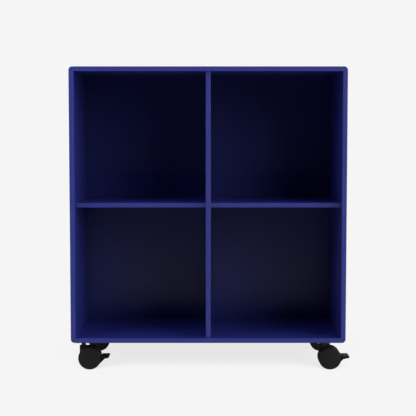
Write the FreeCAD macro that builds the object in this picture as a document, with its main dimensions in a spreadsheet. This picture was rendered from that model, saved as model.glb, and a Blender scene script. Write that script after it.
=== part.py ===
import FreeCAD, Part
import math
import os
import re

import Sketcher

# An open storage module, two compartments wide and two high, on four twin-wheel castors.
# Frame: +X to the right, +Y to the back, +Z up; the origin is on the floor under the middle of the carcass.

# Driving dimensions in millimetres and degrees; each one can be set by itself.
SIZES = {
    # Carcass boards
    "carcass_width": 696.0,
    "carcass_height": 696.0,
    "carcass_depth": 300.0,
    "panel_thickness": 12.0,
    "corner_radius": 9.3,
    "edge_radius": 1.2,
    "back_thickness": 8.0,
    "back_inset": 16.0,
    "groove_depth": 4.0,
    "divider_thickness": 12.0,
    "divider_setback": 10.0,
    # Loose shelves and the pins that they hang on
    "shelf_thickness": 12.0,
    "shelf_setback": 28.0,
    "shelf_end_gap": 0.6,
    "shelf_back_gap": 0.5,
    "shelf_pin_diameter": 5.0,
    "shelf_pin_reach": 8.0,
    "shelf_pin_inset": 40.0,
    "shelf_pin_play": 0.15,
    "shelf_groove_play": 1.0,
    # Mitre splines and divider dowels
    "spline_thickness": 3.0,
    "spline_width": 8.0,
    "spline_stop": 30.0,
    "dowel_diameter": 6.0,
    "dowel_in_panel": 8.0,
    "dowel_in_divider": 12.0,
    "dowel_spacing": 90.0,
    "dowel_chamfer": 0.6,
    # Castor places, measured from the carcass sides to the kingpins
    "castor_left_inset": 28.5,
    "castor_right_inset": 53.5,
    "castor_front_inset": 35.0,
    "castor_back_inset": 35.0,
    # Castor
    "castor_height": 72.0,
    "trail": 16.5,
    "wheel_diameter": 58.0,
    "wheel_width": 13.2,
    "wheel_web": 2.6,
    "wheel_rim_wall": 2.6,
    "wheel_hub_diameter": 13.0,
    "wheel_side_gap": 0.5,
    "tread_thickness": 4.2,
    "tread_shoulder": 3.8,
    "tread_inner_round": 1.2,
    "axle_diameter": 6.0,
    "axle_end_gap": 0.6,
    "housing_thickness": 12.6,
    "housing_radius": 24.0,
    "boss_radius": 10.0,
    "boss_corner": 4.5,
    "boss_drop": 7.0,
    "boss_floor": 4.0,
    "neck_length": 12.4,
    "neck_diameter": 12.0,
    "swivel_gap": 0.4,
    "kingpin_diameter": 7.0,
    "kingpin_end_gap": 0.6,
    "kingpin_spigot": 8.0,
    "bush_wall": 1.2,
    # Castor plate and its screws
    "plate_size": 38.0,
    "plate_thickness": 2.5,
    "plate_corner": 4.0,
    "screw_spacing": 26.0,
    "screw_diameter": 3.8,
    "screw_hole_play": 0.25,
    "screw_cover": 1.5,
    "screw_tip": 2.0,
    "screw_head_diameter": 7.6,
    "screw_head_height": 2.2,
    "screw_head_round": 1.0,
    "recess_arm": 4.4,
    "recess_width": 1.1,
    "recess_depth": 1.3,
    "pilot_end": 0.5,
    # Brake lever of a front castor, measured from the axle and the wheel's rim
    "pedal_length": 20.2,
    "pedal_width": 40.0,
    "pedal_rise": 5.9,
    "pedal_tip_thickness": 4.5,
    "pedal_round": 1.2,
    "pedal_root_thickness": 9.9,
    "shoe_overlap": 5.0,
    "arm_out": 41.4,
    "arm_low": 25.2,
    "arm_start": 1.0,
    "arm_end": 3.5,
    "arm_thickness": 8.0,
    "brake_gap": 0.4,
    "lever_travel": 6.0,
    "lever_pivot_out": 14.0,
    "lever_pivot_up": 12.0,
    "lever_pin_diameter": 4.0,
    "lever_pin_end_gap": 0.2,
    "lever_eye_radius": 4.5,
    "tongue_thickness": 4.6,
    "tongue_root": 3.0,
    "tongue_top_drop": 2.0,
    "tongue_height": 7.0,
    "slot_side_gap": 0.3,
    "slot_end_gap": 1.0,
    # Radial gaps: pressed or glued pieces, and shafts that turn
    "fit_gap": 0.05,
    "running_gap": 0.05,
    # How far a cutting tool runs past what it cuts
    "tool_margin": 2.0,
}

# Lengths worked out from the driving dimensions.
DERIVED = {
    "half_width": "carcass_width / 2",
    "half_height": "carcass_height / 2",
    "half_depth": "carcass_depth / 2",
    "half_inner_width": "half_width - panel_thickness",
    "half_inner_height": "half_height - panel_thickness",
    "carcass_middle": "castor_height + half_height",
    "inner_floor": "castor_height + panel_thickness",
    "inner_ceiling": "castor_height + carcass_height - panel_thickness",
    "back_face": "half_depth - back_inset - back_thickness",
    "divider_front": "divider_setback - half_depth",
    "divider_depth": "back_face - divider_front",
    "shelf_front": "shelf_setback - half_depth",
    "shelf_depth": "back_face - shelf_back_gap - shelf_front",
    "bay_width": "half_inner_width - divider_thickness / 2",
    "bay_centre": "divider_thickness / 2 + bay_width / 2",
    "shelf_length": "bay_width - 2 * shelf_end_gap",
    "front_pin_y": "shelf_front + shelf_pin_inset",
    "back_pin_y": "back_face - shelf_back_gap - shelf_pin_inset",
    "shelf_groove_depth": "shelf_pin_reach - shelf_end_gap + shelf_groove_play",
    "shelf_groove_height": "shelf_pin_diameter + 2 * shelf_pin_play",
    "shelf_groove_length": "shelf_depth - shelf_pin_inset + shelf_groove_height / 2",
    "dowel_length": "dowel_in_panel + dowel_in_divider",
    "dowel_middle_y": "divider_front + divider_depth / 2",
    "wheel_radius": "wheel_diameter / 2",
    "rim_radius": "wheel_radius - tread_thickness",
    "castor_width": "housing_thickness + 2 * wheel_side_gap + 2 * wheel_width",
    "boss_top": "castor_height - neck_length",
    "boss_bottom": "wheel_radius - boss_drop",
    "bush_bottom": "boss_bottom + boss_floor",
    "bush_outer": "kingpin_diameter / 2 + running_gap + bush_wall",
    "plate_bottom": "castor_height - plate_thickness",
    "screw_in_panel": "panel_thickness - groove_depth - screw_cover",
    "screw_shank": "plate_thickness + screw_in_panel",
    "slot_width": "tongue_thickness + 2 * slot_side_gap",
    "slot_start": "lever_pivot_out - lever_eye_radius - slot_end_gap",
    "shoe_radius": "wheel_radius + brake_gap",
    "shoe_x": "lever_pivot_out * (1 - cos(lever_travel)) + lever_pivot_up * sin(lever_travel)",
    "shoe_z": "lever_pivot_up * (1 - cos(lever_travel)) - lever_pivot_out * sin(lever_travel)",
}

# The four castors: where each kingpin stands and whether the castor has a brake.
CASTORS = {
    "front_left": ("castor_left_inset - half_width", "castor_front_inset - half_depth", True),
    "front_right": ("half_width - castor_right_inset", "castor_front_inset - half_depth", True),
    "rear_left": ("castor_left_inset - half_width", "half_depth - castor_back_inset", False),
    "rear_right": ("half_width - castor_right_inset", "half_depth - castor_back_inset", False),
}

SIDES = ("-1", "1")
WORD = re.compile(r"[a-z_]+")
AXIS_X = FreeCAD.Vector(1, 0, 0)
AXIS_Y = FreeCAD.Vector(0, 1, 0)
AXIS_Z = FreeCAD.Vector(0, 0, 1)
UPRIGHT = FreeCAD.Rotation()
ALONG_X = FreeCAD.Rotation(AXIS_Y, 90)
ALONG_Y = FreeCAD.Rotation(AXIS_X, -90)
HALF_TURN = FreeCAD.Rotation(AXIS_Z, 180)
# How large an outline is drawn before its formulas set it, and how close two equal places lie
DRAWN_SIZE = 10.0
SAME_PLACE = 1e-4

doc = FreeCAD.newDocument("storage_module")
sheet = doc.addObject("Spreadsheet::Sheet", "Sizes")
for row, (alias, value) in enumerate(SIZES.items(), start=1):
    sheet.set(f"A{row}", alias)
    sheet.set(f"B{row}", str(value))
    sheet.setAlias(f"B{row}", alias)
doc.recompute()

sub_parts = []


def formula(text):
    """Spell a formula out in cells of the sheet."""
    def spell(match):
        word = match.group(0)
        if word in SIZES:
            return "Sizes." + word
        if word in DERIVED:
            return "(" + formula(DERIVED[word]) + ")"
        return word
    return WORD.sub(spell, text)


def bind(item, **lengths):
    """Tie properties of an object to formulas."""
    for name, text in lengths.items():
        item.setExpression(name, formula(text))
    return item


def put(item, x="0", y="0", z="0", turn=UPRIGHT):
    """Turn an object and tie its place to formulas."""
    item.Placement = FreeCAD.Placement(FreeCAD.Vector(), turn)
    for axis, text in (("x", x), ("y", y), ("z", z)):
        item.setExpression("Placement.Base." + axis, formula(text))
    return item


def keep(item, label):
    """Name an object as a sub-part that is written out."""
    item.Label = label
    sub_parts.append(item)
    return item


def box(name, length, width, height, **place):
    """A box with formulas for its sizes."""
    item = bind(doc.addObject("Part::Box", name), Length=length, Width=width, Height=height)
    return put(item, **place)


def rod(name, radius, height, **place):
    """A cylinder with formulas for its sizes."""
    item = bind(doc.addObject("Part::Cylinder", name), Radius=radius, Height=height)
    return put(item, **place)


def copy_of(master, name, **place):
    """A linked copy of a master piece at a place of its own."""
    link = doc.addObject("App::Link", name)
    link.LinkedObject = master
    return put(link, **place)


def group(name, members):
    """Several separate solids under one name."""
    item = doc.addObject("Part::Compound", name)
    item.Links = members
    return item


def cut(name, base, tools):
    """A piece with tools cut out of it."""
    item = doc.addObject("Part::Cut", name)
    item.Base = base
    item.Tool = group(name + "Tools", tools)
    return item


def sketch_on(body, name, role, offset="0"):
    """A sketch on one of a body's origin planes, moved along the plane's normal."""
    sketch = body.newObject("Sketcher::SketchObject", name)
    plane = [item for item in body.Origin.OriginFeatures if item.Role == role][0]
    sketch.AttachmentSupport = (plane, [""])
    sketch.MapMode = "FlatFace"
    sketch.setExpression("AttachmentOffset.Base.z", formula(offset))
    return sketch


def fix_point(sketch, geometry, point, across, up):
    """Tie one point of a sketch to two formulas."""
    for kind, text in (("DistanceX", across), ("DistanceY", up)):
        index = sketch.addConstraint(Sketcher.Constraint(kind, -1, 1, geometry, point, DRAWN_SIZE))
        sketch.setExpression(f"Constraints[{index}]", formula(text))


def draw_polygon(sketch, corners):
    """A closed outline through corners that are given as pairs of formulas."""
    first = sketch.GeometryCount
    count = len(corners)
    circle = Part.Circle(FreeCAD.Vector(), AXIS_Z, DRAWN_SIZE)
    starts = [circle.value(math.tau * index / count) for index in range(count)]
    for index in range(count):
        sketch.addGeometry(Part.LineSegment(starts[index], starts[(index + 1) % count]))
    for index in range(count):
        follower = first + (index + 1) % count
        sketch.addConstraint(Sketcher.Constraint("Coincident", first + index, 2, follower, 1))
    for index, (across, up) in enumerate(corners):
        fix_point(sketch, first + index, 1, across, up)


def draw_rectangle(sketch, left, right, low, high):
    """A rectangle between formulas."""
    draw_polygon(sketch, [(left, low), (right, low), (right, high), (left, high)])


def draw_circle(sketch, across, up, radius):
    """A circle with formulas for its centre and radius."""
    index = sketch.addGeometry(Part.Circle(AXIS_X + AXIS_Y, AXIS_Z, DRAWN_SIZE))
    fix_point(sketch, index, 3, across, up)
    size = sketch.addConstraint(Sketcher.Constraint("Radius", index, DRAWN_SIZE))
    sketch.setExpression(f"Constraints[{size}]", formula(radius))


def new_body(name):
    """An empty part-design body."""
    return doc.addObject("PartDesign::Body", name)


def pad(body, name, sketch, length, side="Symmetric"):
    """Pad a sketch to a length, about its plane or to one side."""
    feature = body.newObject("PartDesign::Pad", name)
    feature.Profile = (sketch, [""])
    feature.SideType = side
    return bind(feature, Length=length)


def pocket(body, name, sketch, length=None):
    """Cut a sketch out on both sides of its plane, to a length or right through."""
    feature = body.newObject("PartDesign::Pocket", name)
    feature.Profile = (sketch, [""])
    feature.SideType = "Symmetric"
    if length is None:
        feature.Type = "ThroughAll"
        return feature
    return bind(feature, Length=length)


def turned(name, role, corners):
    """A body turned about its sketch's upright axis."""
    body = new_body(name)
    sketch = sketch_on(body, name + "Profile", role)
    draw_polygon(sketch, corners)
    feature = body.newObject("PartDesign::Revolution", name + "Turn")
    feature.Profile = (sketch, [""])
    feature.ReferenceAxis = (sketch, ["V_Axis"])
    feature.Angle = 360.0
    return body


def round_edges(body, name, radius, wanted):
    """Round those edges of a body that a test picks."""
    doc.recompute()
    base = body.Tip
    edges = enumerate(base.Shape.Edges, start=1)
    picked = [f"Edge{index}" for index, edge in edges if wanted(edge, base.Shape)]
    feature = body.newObject("PartDesign::Fillet", name)
    feature.Base = (base, picked)
    return bind(feature, Radius=radius)


def middle(edge):
    """The middle of an edge's box, which lies on a straight edge."""
    return edge.BoundBox.Center


def runs_along(edge, axis):
    """Whether an edge is straight and parallel to an axis."""
    if not isinstance(edge.Curve, (Part.Line, Part.LineSegment)):
        return False
    return near(abs(edge.tangentAt(edge.FirstParameter).dot(axis)), 1)


def near(first, second):
    """Whether two places agree."""
    return abs(first - second) < SAME_PLACE


def make_carcass_ring():
    """The four outer boards in one piece, before they are parted at the mitres."""
    ring = new_body("CarcassRing")
    put(ring, z="carcass_middle")
    face = sketch_on(ring, "RingFace", "XZ_Plane")
    draw_rectangle(face, "-half_width", "half_width", "-half_height", "half_height")
    draw_rectangle(face, "-half_inner_width", "half_inner_width", "-half_inner_height", "half_inner_height")
    pad(ring, "RingPad", face, "carcass_depth")
    round_edges(ring, "RingCorners", "corner_radius", lambda edge, shape: (
        runs_along(edge, AXIS_Y) and near(abs(middle(edge).x), shape.BoundBox.XMax)))
    round_edges(ring, "RingEdges", "edge_radius", lambda edge, shape: (
        near(edge.BoundBox.YLength, 0) and near(abs(middle(edge).y), shape.BoundBox.YMax)))
    groove = sketch_on(ring, "BackGroove", "XZ_Plane", "-(back_face + back_thickness / 2)")
    reach_x = "(half_inner_width + groove_depth)"
    reach_z = "(half_inner_height + groove_depth)"
    draw_rectangle(groove, "-" + reach_x, reach_x, "-" + reach_z, reach_z)
    pocket(ring, "BackGroovePocket", groove, "back_thickness + 2 * fit_gap")
    return ring


def make_mitre_block(name, half_length):
    """A block with 45 degree ends that takes one board out of the ring; its outer face is at height 0."""
    block = doc.addObject("Part::Wedge", name)
    long_end = half_length + " + tool_margin"
    short_end = half_length + " - panel_thickness - tool_margin"
    deep = "half_depth + tool_margin"
    return bind(
        block,
        Xmin="-(" + long_end + ")", Xmax=long_end, X2min="-(" + short_end + ")", X2max=short_end,
        Ymin="-tool_margin", Ymax="panel_thickness + tool_margin",
        Zmin="-(" + deep + ")", Zmax=deep, Z2min="-(" + deep + ")", Z2max=deep)


def make_spline(name, grow):
    """A spline, or the slot for it, lying along Y about the middle of a mitre."""
    body = new_body(name)
    face = sketch_on(body, name + "Face", "XZ_Plane")
    wide = f"(spline_width / 2 + {grow})"
    thick = f"(spline_thickness / 2 + {grow})"
    draw_rectangle(face, "-" + wide, wide, "-" + thick, thick)
    pad(body, name + "Pad", face, f"carcass_depth - 2 * spline_stop + 2 * {grow}")
    return body


def spline_copies(master, name):
    """A copy of a spline at each of the four mitres, keyed by its corner."""
    copies = {}
    for side in SIDES:
        for level in SIDES:
            lean = 45 * int(side) * int(level)
            copies[side, level] = copy_of(
                master, f"{name}{side}{level}".replace("-", "m"),
                x=f"{side} * (half_width - panel_thickness / 2)",
                z=f"carcass_middle + {level} * (half_height - panel_thickness / 2)",
                turn=FreeCAD.Rotation(AXIS_Y, lean))
    return copies


def dowel_places():
    """Formulas for the places of the dowels along the divider."""
    return [f"dowel_middle_y + {step} * dowel_spacing" for step in (-1, 0, 1)]


def pin_places():
    """Formulas for the places of the shelf pins, front and back."""
    return ["front_pin_y", "back_pin_y"]


def screw_places():
    """Formulas for the places of all castor screws."""
    places = []
    for kingpin_x, kingpin_y, _ in CASTORS.values():
        for across in SIDES:
            for along in SIDES:
                places.append((f"{kingpin_x} + {across} * screw_spacing / 2",
                               f"{kingpin_y} + {along} * screw_spacing / 2"))
    return places


def build_carcass():
    """The outer boards, mitred, grooved for the back and drilled for what they hold."""
    ring = make_carcass_ring()
    wide_block = make_mitre_block("WideBlock", "half_width")
    tall_block = make_mitre_block("TallBlock", "half_height")
    slots = spline_copies(make_spline("SplineSlot", "fit_gap"), "Slot")

    dowel_hole = ("dowel_diameter / 2 + fit_gap", "dowel_in_panel + fit_gap")
    top_holes = [rod(f"TopDowelHole{index}", *dowel_hole, y=place, z="inner_ceiling")
                 for index, place in enumerate(dowel_places())]
    floor_holes = [rod(f"FloorDowelHole{index}", *dowel_hole, y=place,
                       z="inner_floor - dowel_in_panel - fit_gap")
                   for index, place in enumerate(dowel_places())]
    pilot_holes = [rod(f"PilotHole{index}", "screw_diameter / 2 + fit_gap", "screw_in_panel + pilot_end",
                       x=place_x, y=place_y, z="castor_height")
                   for index, (place_x, place_y) in enumerate(screw_places())]
    pin_hole = ("shelf_pin_diameter / 2 + fit_gap", "shelf_pin_reach + fit_gap")
    left_holes = [rod(f"LeftPinHole{index}", *pin_hole, x="-half_inner_width - shelf_pin_reach - fit_gap",
                      y=place, z="carcass_middle", turn=ALONG_X)
                  for index, place in enumerate(pin_places())]
    right_holes = [rod(f"RightPinHole{index}", *pin_hole, x="half_inner_width",
                       y=place, z="carcass_middle", turn=ALONG_X)
                   for index, place in enumerate(pin_places())]

    upwards = FreeCAD.Rotation(AXIS_X, 90)
    downwards = FreeCAD.Rotation(AXIS_X, -90)
    to_the_right = FreeCAD.Rotation(AXIS_Z, AXIS_X, AXIS_Y, "XYZ")
    to_the_left = FreeCAD.Rotation(AXIS_Z, -AXIS_X, -AXIS_Y, "XYZ")
    boards = (
        ("bottom_panel", wide_block, {"z": "castor_height", "turn": upwards},
         [slots["-1", "-1"], slots["1", "-1"]] + floor_holes + pilot_holes),
        ("top_panel", wide_block, {"z": "castor_height + carcass_height", "turn": downwards},
         [slots["-1", "1"], slots["1", "1"]] + top_holes),
        ("left_side_panel", tall_block, {"x": "-half_width", "z": "carcass_middle", "turn": to_the_right},
         [slots["-1", "-1"], slots["-1", "1"]] + left_holes),
        ("right_side_panel", tall_block, {"x": "half_width", "z": "carcass_middle", "turn": to_the_left},
         [slots["1", "-1"], slots["1", "1"]] + right_holes),
    )
    for label, block, place, tools in boards:
        board = doc.addObject("Part::Common", label + "_board")
        board.Base = ring
        board.Tool = copy_of(block, label + "_block", **place)
        keep(cut(label + "_drilled", board, tools), label)

    keep(box("BackBoard", "2 * (half_inner_width + groove_depth - fit_gap)", "back_thickness",
             "2 * (half_inner_height + groove_depth - fit_gap)",
             x="-(half_inner_width + groove_depth - fit_gap)", y="back_face",
             z="carcass_middle - (half_inner_height + groove_depth - fit_gap)"), "back_panel")
    splines = spline_copies(make_spline("Spline", "0"), "Tongue")
    keep(group("Splines", list(splines.values())), "mitre_splines")


def build_divider():
    """The upright divider and the dowels that hold it."""
    board = new_body("DividerBoard")
    plan = sketch_on(board, "DividerPlan", "XY_Plane", "inner_floor")
    draw_rectangle(plan, "-divider_thickness / 2", "divider_thickness / 2", "divider_front", "back_face")
    pad(board, "DividerPad", plan, "inner_ceiling - inner_floor", "One side")
    round_edges(board, "DividerEdges", "edge_radius", lambda edge, shape: (
        runs_along(edge, AXIS_Z) and near(middle(edge).y, shape.BoundBox.YMin)))

    hole = ("dowel_diameter / 2 + fit_gap", "dowel_in_divider + fit_gap")
    holes = []
    for index, place in enumerate(dowel_places()):
        holes.append(rod(f"DividerLowHole{index}", *hole, y=place, z="inner_floor"))
        holes.append(rod(f"DividerHighHole{index}", *hole, y=place,
                         z="inner_ceiling - dowel_in_divider - fit_gap"))
    for index, place in enumerate(pin_places()):
        holes.append(rod(f"DividerPinHole{index}", "shelf_pin_diameter / 2 + fit_gap", "divider_thickness",
                         x="-divider_thickness / 2", y=place, z="carcass_middle", turn=ALONG_X))
    keep(cut("DividerDrilled", board, holes), "centre_divider")

    chamfered = "dowel_diameter / 2 - dowel_chamfer"
    dowel = turned("Dowel", "XZ_Plane", [
        ("0", "0"), (chamfered, "0"), ("dowel_diameter / 2", "dowel_chamfer"),
        ("dowel_diameter / 2", "dowel_length - dowel_chamfer"), (chamfered, "dowel_length"),
        ("0", "dowel_length")])
    dowels = []
    for index, place in enumerate(dowel_places()):
        dowels.append(copy_of(dowel, f"LowDowel{index}", y=place, z="inner_floor - dowel_in_panel"))
        dowels.append(copy_of(dowel, f"HighDowel{index}", y=place, z="inner_ceiling - dowel_in_divider"))
    keep(group("Dowels", dowels), "divider_dowels")


def build_shelves():
    """The two loose shelves and the pins hidden in the grooves of their ends."""
    board = new_body("ShelfBoard")
    plan = sketch_on(board, "ShelfPlan", "XY_Plane")
    draw_rectangle(plan, "-shelf_length / 2", "shelf_length / 2", "0", "shelf_depth")
    pad(board, "ShelfPad", plan, "shelf_thickness")
    round_edges(board, "ShelfEdges", "edge_radius", lambda edge, shape: (
        runs_along(edge, AXIS_X) and near(middle(edge).y, shape.BoundBox.YMin)))
    starts = ("-shelf_length / 2 - tool_margin", "shelf_length / 2 - shelf_groove_depth")
    grooves = [box(f"ShelfGroove{index}", "shelf_groove_depth + tool_margin",
                   "shelf_groove_length + tool_margin", "shelf_groove_height",
                   x=start, y="shelf_depth - shelf_groove_length", z="-shelf_groove_height / 2")
               for index, start in enumerate(starts)]
    shelf = cut("Shelf", board, grooves)
    keep(copy_of(shelf, "LeftShelf", x="-bay_centre", y="shelf_front", z="carcass_middle"), "left_shelf")
    keep(copy_of(shelf, "RightShelf", x="bay_centre", y="shelf_front", z="carcass_middle"), "right_shelf")

    pins = []
    for index, place in enumerate(pin_places()):
        across = {"y": place, "z": "carcass_middle", "turn": ALONG_X}
        radius = "shelf_pin_diameter / 2"
        pins.append(rod(f"LeftPin{index}", radius, "2 * shelf_pin_reach",
                        x="-half_inner_width - shelf_pin_reach", **across))
        pins.append(rod(f"MiddlePin{index}", radius, "divider_thickness + 2 * shelf_pin_reach",
                        x="-divider_thickness / 2 - shelf_pin_reach", **across))
        pins.append(rod(f"RightPin{index}", radius, "2 * shelf_pin_reach",
                        x="half_inner_width - shelf_pin_reach", **across))
    keep(group("ShelfPins", pins), "shelf_pins")


def make_wheel():
    """One wheel, turned about Y, with its plain outer face at 0: web, rim and blind hub."""
    hub = "wheel_hub_diameter / 2"
    bore = "axle_diameter / 2 + running_gap"
    return turned("Wheel", "XY_Plane", [
        ("0", "0"), ("rim_radius", "0"), ("rim_radius", "wheel_width"),
        ("rim_radius - wheel_rim_wall", "wheel_width"), ("rim_radius - wheel_rim_wall", "wheel_web"),
        (hub, "wheel_web"), (hub, "wheel_width"), (bore, "wheel_width"), (bore, "wheel_web"),
        ("0", "wheel_web")])


def make_tread():
    """The soft tread ring of a wheel, with a wide rounded shoulder on its outer side."""
    inner = "rim_radius + fit_gap"
    body = turned("Tread", "XY_Plane", [
        (inner, "0"), ("wheel_radius", "0"), ("wheel_radius", "wheel_width"), (inner, "wheel_width")])
    for name, radius, place in (("TreadShoulder", "tread_shoulder", 0),
                                ("TreadInner", "tread_inner_round", sheet.wheel_width)):
        round_edges(body, name, radius, lambda edge, shape, place=place: (
            isinstance(edge.Curve, Part.Circle) and near(edge.Curve.Center.y, place)
            and near(edge.Curve.Radius, sheet.wheel_diameter / 2)))
    return body


def make_kingpin():
    """The swivel pin: a spigot riveted in the plate, the neck, and the shank that turns in the bush."""
    shank = "kingpin_diameter / 2"
    neck = "neck_diameter / 2"
    spigot = "kingpin_spigot / 2"
    low = "bush_bottom + kingpin_end_gap"
    seat = "boss_top + swivel_gap"
    return turned("Kingpin", "XZ_Plane", [
        ("0", low), (shank, low), (shank, seat), (neck, seat), (neck, "plate_bottom"),
        (spigot, "plate_bottom"), (spigot, "castor_height"), ("0", "castor_height")])


def make_bush():
    """The sleeve between the kingpin and the boss."""
    inner = "kingpin_diameter / 2 + running_gap"
    return turned("Bush", "XZ_Plane", [
        (inner, "bush_bottom"), ("bush_outer", "bush_bottom"), ("bush_outer", "boss_top"),
        (inner, "boss_top")])


def make_housing(name, braked):
    """The castor body between the wheels; a braked one is slotted for the lever."""
    body = new_body(name)
    disc = sketch_on(body, name + "DiscFace", "XZ_Plane")
    draw_circle(disc, "trail", "wheel_radius", "housing_radius")
    pad(body, name + "Disc", disc, "housing_thickness")
    boss = sketch_on(body, name + "BossFace", "XZ_Plane")
    draw_rectangle(boss, "-boss_radius", "boss_radius", "boss_bottom", "boss_top")
    pad(body, name + "Boss", boss, "housing_thickness")
    round_edges(body, name + "BossCorners", "boss_corner", lambda edge, shape: (
        runs_along(edge, AXIS_Z) and near(middle(edge).x, shape.BoundBox.XMin)))

    bore = sketch_on(body, name + "BoreFace", "XY_Plane", "bush_bottom")
    draw_circle(bore, "0", "0", "bush_outer + fit_gap")
    bored = body.newObject("PartDesign::Pocket", name + "Bore")
    bored.Profile = (bore, [""])
    bored.Reversed = True
    bind(bored, Length="boss_top - bush_bottom + tool_margin")
    axle = sketch_on(body, name + "AxleFace", "XZ_Plane")
    draw_circle(axle, "trail", "wheel_radius", "axle_diameter / 2 + fit_gap")
    pocket(body, name + "AxleHole", axle)
    if braked:
        slot = sketch_on(body, name + "SlotFace", "XZ_Plane")
        reach = "housing_radius + tool_margin"
        draw_rectangle(slot, "trail + slot_start", "trail + " + reach,
                       "wheel_radius - (" + reach + ")", "wheel_radius + " + reach)
        pocket(body, name + "Slot", slot, "slot_width")
        pivot = sketch_on(body, name + "PivotFace", "XZ_Plane")
        draw_circle(pivot, "trail + lever_pivot_out", "wheel_radius + lever_pivot_up",
                    "lever_pin_diameter / 2 + fit_gap")
        pocket(body, name + "PivotHole", pivot)
    return body


def make_plate():
    """The square mounting plate, with its upper face at plate_thickness."""
    body = new_body("Plate")
    plan = sketch_on(body, "PlatePlan", "XY_Plane")
    draw_rectangle(plan, "-plate_size / 2", "plate_size / 2", "-plate_size / 2", "plate_size / 2")
    pad(body, "PlatePad", plan, "plate_thickness", "One side")
    round_edges(body, "PlateCorners", "plate_corner", lambda edge, shape: runs_along(edge, AXIS_Z))
    holes = sketch_on(body, "PlateHoles", "XY_Plane")
    draw_circle(holes, "0", "0", "kingpin_spigot / 2 + fit_gap")
    for across in SIDES:
        for along in SIDES:
            draw_circle(holes, f"{across} * screw_spacing / 2", f"{along} * screw_spacing / 2",
                        "screw_diameter / 2 + screw_hole_play")
    pocket(body, "PlateDrilled", holes)
    return body


def make_screw():
    """A pan-head screw that points up, with its head's seat at height 0 and a cross recess."""
    shank = "screw_diameter / 2"
    head = "screw_head_diameter / 2"
    body = turned("Screw", "XZ_Plane", [
        ("0", "-screw_head_height"), (head, "-screw_head_height"), (head, "0"), (shank, "0"),
        (shank, "screw_shank - screw_tip"), ("0", "screw_shank")])
    round_edges(body, "ScrewHeadRound", "screw_head_round", lambda edge, shape: (
        near(edge.BoundBox.ZMax, shape.BoundBox.ZMin) and near(edge.BoundBox.XMax, shape.BoundBox.XMax)))
    cross = sketch_on(body, "ScrewCross", "XY_Plane", "-screw_head_height")
    arm = "recess_arm / 2"
    half = "recess_width / 2"
    draw_polygon(cross, [
        (arm, "-" + half), (arm, half), (half, half), (half, arm), ("-" + half, arm), ("-" + half, half),
        ("-" + arm, half), ("-" + arm, "-" + half), ("-" + half, "-" + half), ("-" + half, "-" + arm),
        (half, "-" + arm), (half, "-" + half)])
    pocket(body, "ScrewRecess", cross, "2 * recess_depth")
    return body


def make_lever():
    """The brake lever about the axle: a pedal with a hollow shoe, an arm, and a tongue that turns on the pin.

    The hollow is the wheel's rim plus a gap, turned up about the pin by the lever's travel, so that the
    shoe lies along both treads when the pedal is down. The arm below runs between the wheels, and is
    hollowed in the same way for the housing.
    """
    body = new_body("Lever")
    block = sketch_on(body, "PedalFace", "XZ_Plane")
    tip = "wheel_radius + pedal_length"
    inside = "wheel_radius - shoe_overlap"
    draw_polygon(block, [
        (inside, "pedal_rise"), (tip, "pedal_rise"), (tip, "pedal_rise - pedal_tip_thickness"),
        (inside, "pedal_rise - pedal_root_thickness")])
    pad(body, "Pedal", block, "pedal_width")
    round_edges(body, "PedalTip", "pedal_round", lambda edge, shape: (
        near(edge.BoundBox.XMin, shape.BoundBox.XMax)))
    shoe = sketch_on(body, "ShoeFace", "XZ_Plane")
    draw_circle(shoe, "shoe_x", "shoe_z", "shoe_radius")
    pocket(body, "Shoe", shoe)
    arm = sketch_on(body, "ArmFace", "XZ_Plane")
    draw_polygon(arm, [
        (inside, "arm_start"), ("arm_out + arm_start", "arm_start"), ("arm_out - arm_low", "-arm_low"),
        ("arm_out - arm_low - arm_end", "arm_end - arm_low")])
    pad(body, "Arm", arm, "arm_thickness")
    clearance = sketch_on(body, "ArmHollowFace", "XZ_Plane")
    draw_circle(clearance, "shoe_x", "shoe_z", "housing_radius + brake_gap")
    pocket(body, "ArmHollow", clearance)
    tongue = sketch_on(body, "TongueFace", "XZ_Plane")
    root = "wheel_radius + tongue_root"
    draw_polygon(tongue, [
        ("lever_pivot_out", "lever_pivot_up + lever_eye_radius"),
        ("lever_pivot_out", "lever_pivot_up - lever_eye_radius"),
        (root, "pedal_rise - tongue_top_drop - tongue_height"), (root, "pedal_rise - tongue_top_drop")])
    pad(body, "Tongue", tongue, "tongue_thickness")
    eye = sketch_on(body, "EyeFace", "XZ_Plane")
    draw_circle(eye, "lever_pivot_out", "lever_pivot_up", "lever_eye_radius")
    pad(body, "Eye", eye, "tongue_thickness")
    hole = sketch_on(body, "EyeHoleFace", "XZ_Plane")
    draw_circle(hole, "lever_pivot_out", "lever_pivot_up", "lever_pin_diameter / 2 + running_gap")
    pocket(body, "EyeHole", hole)
    return body


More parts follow.
